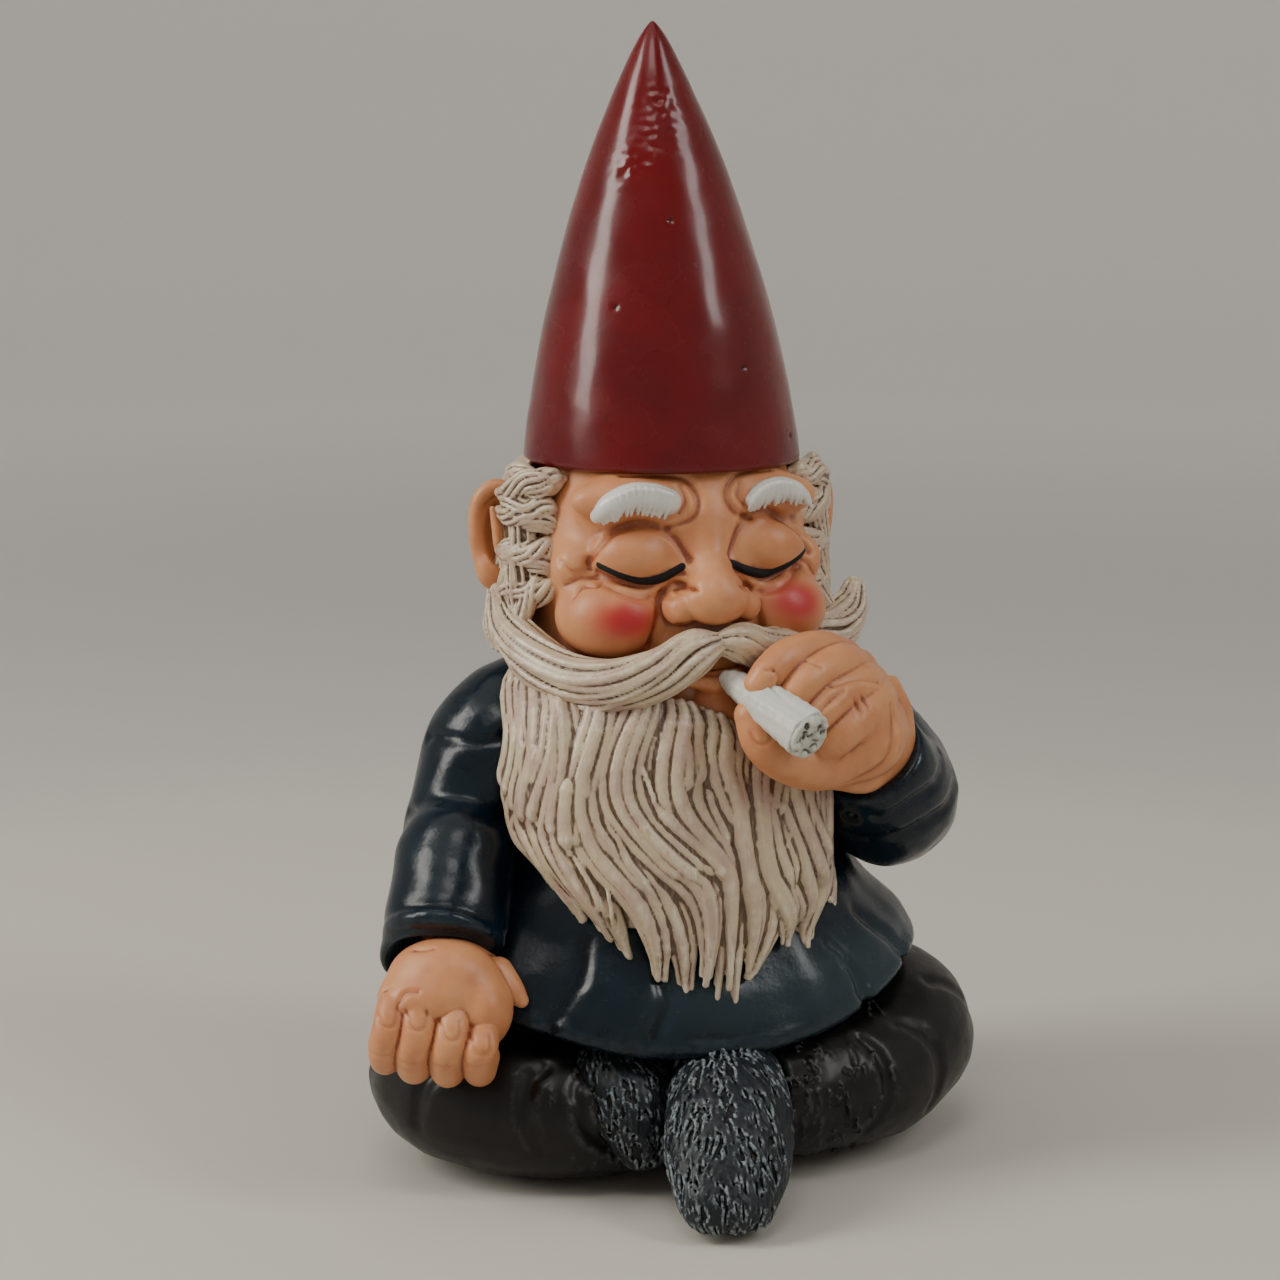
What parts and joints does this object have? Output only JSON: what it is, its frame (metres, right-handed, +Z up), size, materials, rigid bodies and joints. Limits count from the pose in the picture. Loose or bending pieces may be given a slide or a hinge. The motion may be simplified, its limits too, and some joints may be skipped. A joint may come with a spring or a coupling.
{
  "type": "garden gnome",
  "caption": "Seated garden gnome with a tall pointed hat, full beard, crossed legs, one fist on the knee and a rolled cigarette at the mouth.",
  "frame": {"origin": "on the underside of the foam pad, below the axis of the head and hat", "axes": "+Z up to the tip of the hat, -Y the way the gnome faces, +X its left side"},
  "size_m": [0.1476, 0.1207, 0.25],
  "materials": {
    "hat_red": "gloss",
    "skin": "satin",
    "beard_cream": "satin",
    "brow_white": "satin",
    "coat_navy": "gloss",
    "trouser_charcoal": "satin",
    "boot_slate": "satin",
    "paper_white": "satin",
    "ash_grey": "matte",
    "steel": "satin",
    "bare_resin": "matte",
    "foam": "matte"
  },
  "bodies": {
    "root": {"hips": "trouser_charcoal", "base_plate": "bare_resin", "base_pad": "foam", "right_leg": "trouser_charcoal", "left_leg": "trouser_charcoal", "left_boot": "boot_slate", "right_boot": "boot_slate", "head": "skin", "coat": "coat_navy", "hat": "hat_red", "cigarette": "paper_white", "ash_tip": "ash_grey", "left_hand": "skin", "right_hand": "skin", "right_sleeve": "coat_navy", "left_sleeve": "coat_navy", "beard": "beard_cream", "right_moustache": "beard_cream", "left_moustache": "beard_cream", "right_ear": "skin", "left_ear": "skin", "right_sideburn": "beard_cream", "left_sideburn": "beard_cream", "back_hair": "beard_cream", "right_eyebrow": "brow_white", "left_eyebrow": "brow_white", "right_shoulder_pin": "steel", "left_shoulder_pin": "steel"}
  },
  "joints": []
}
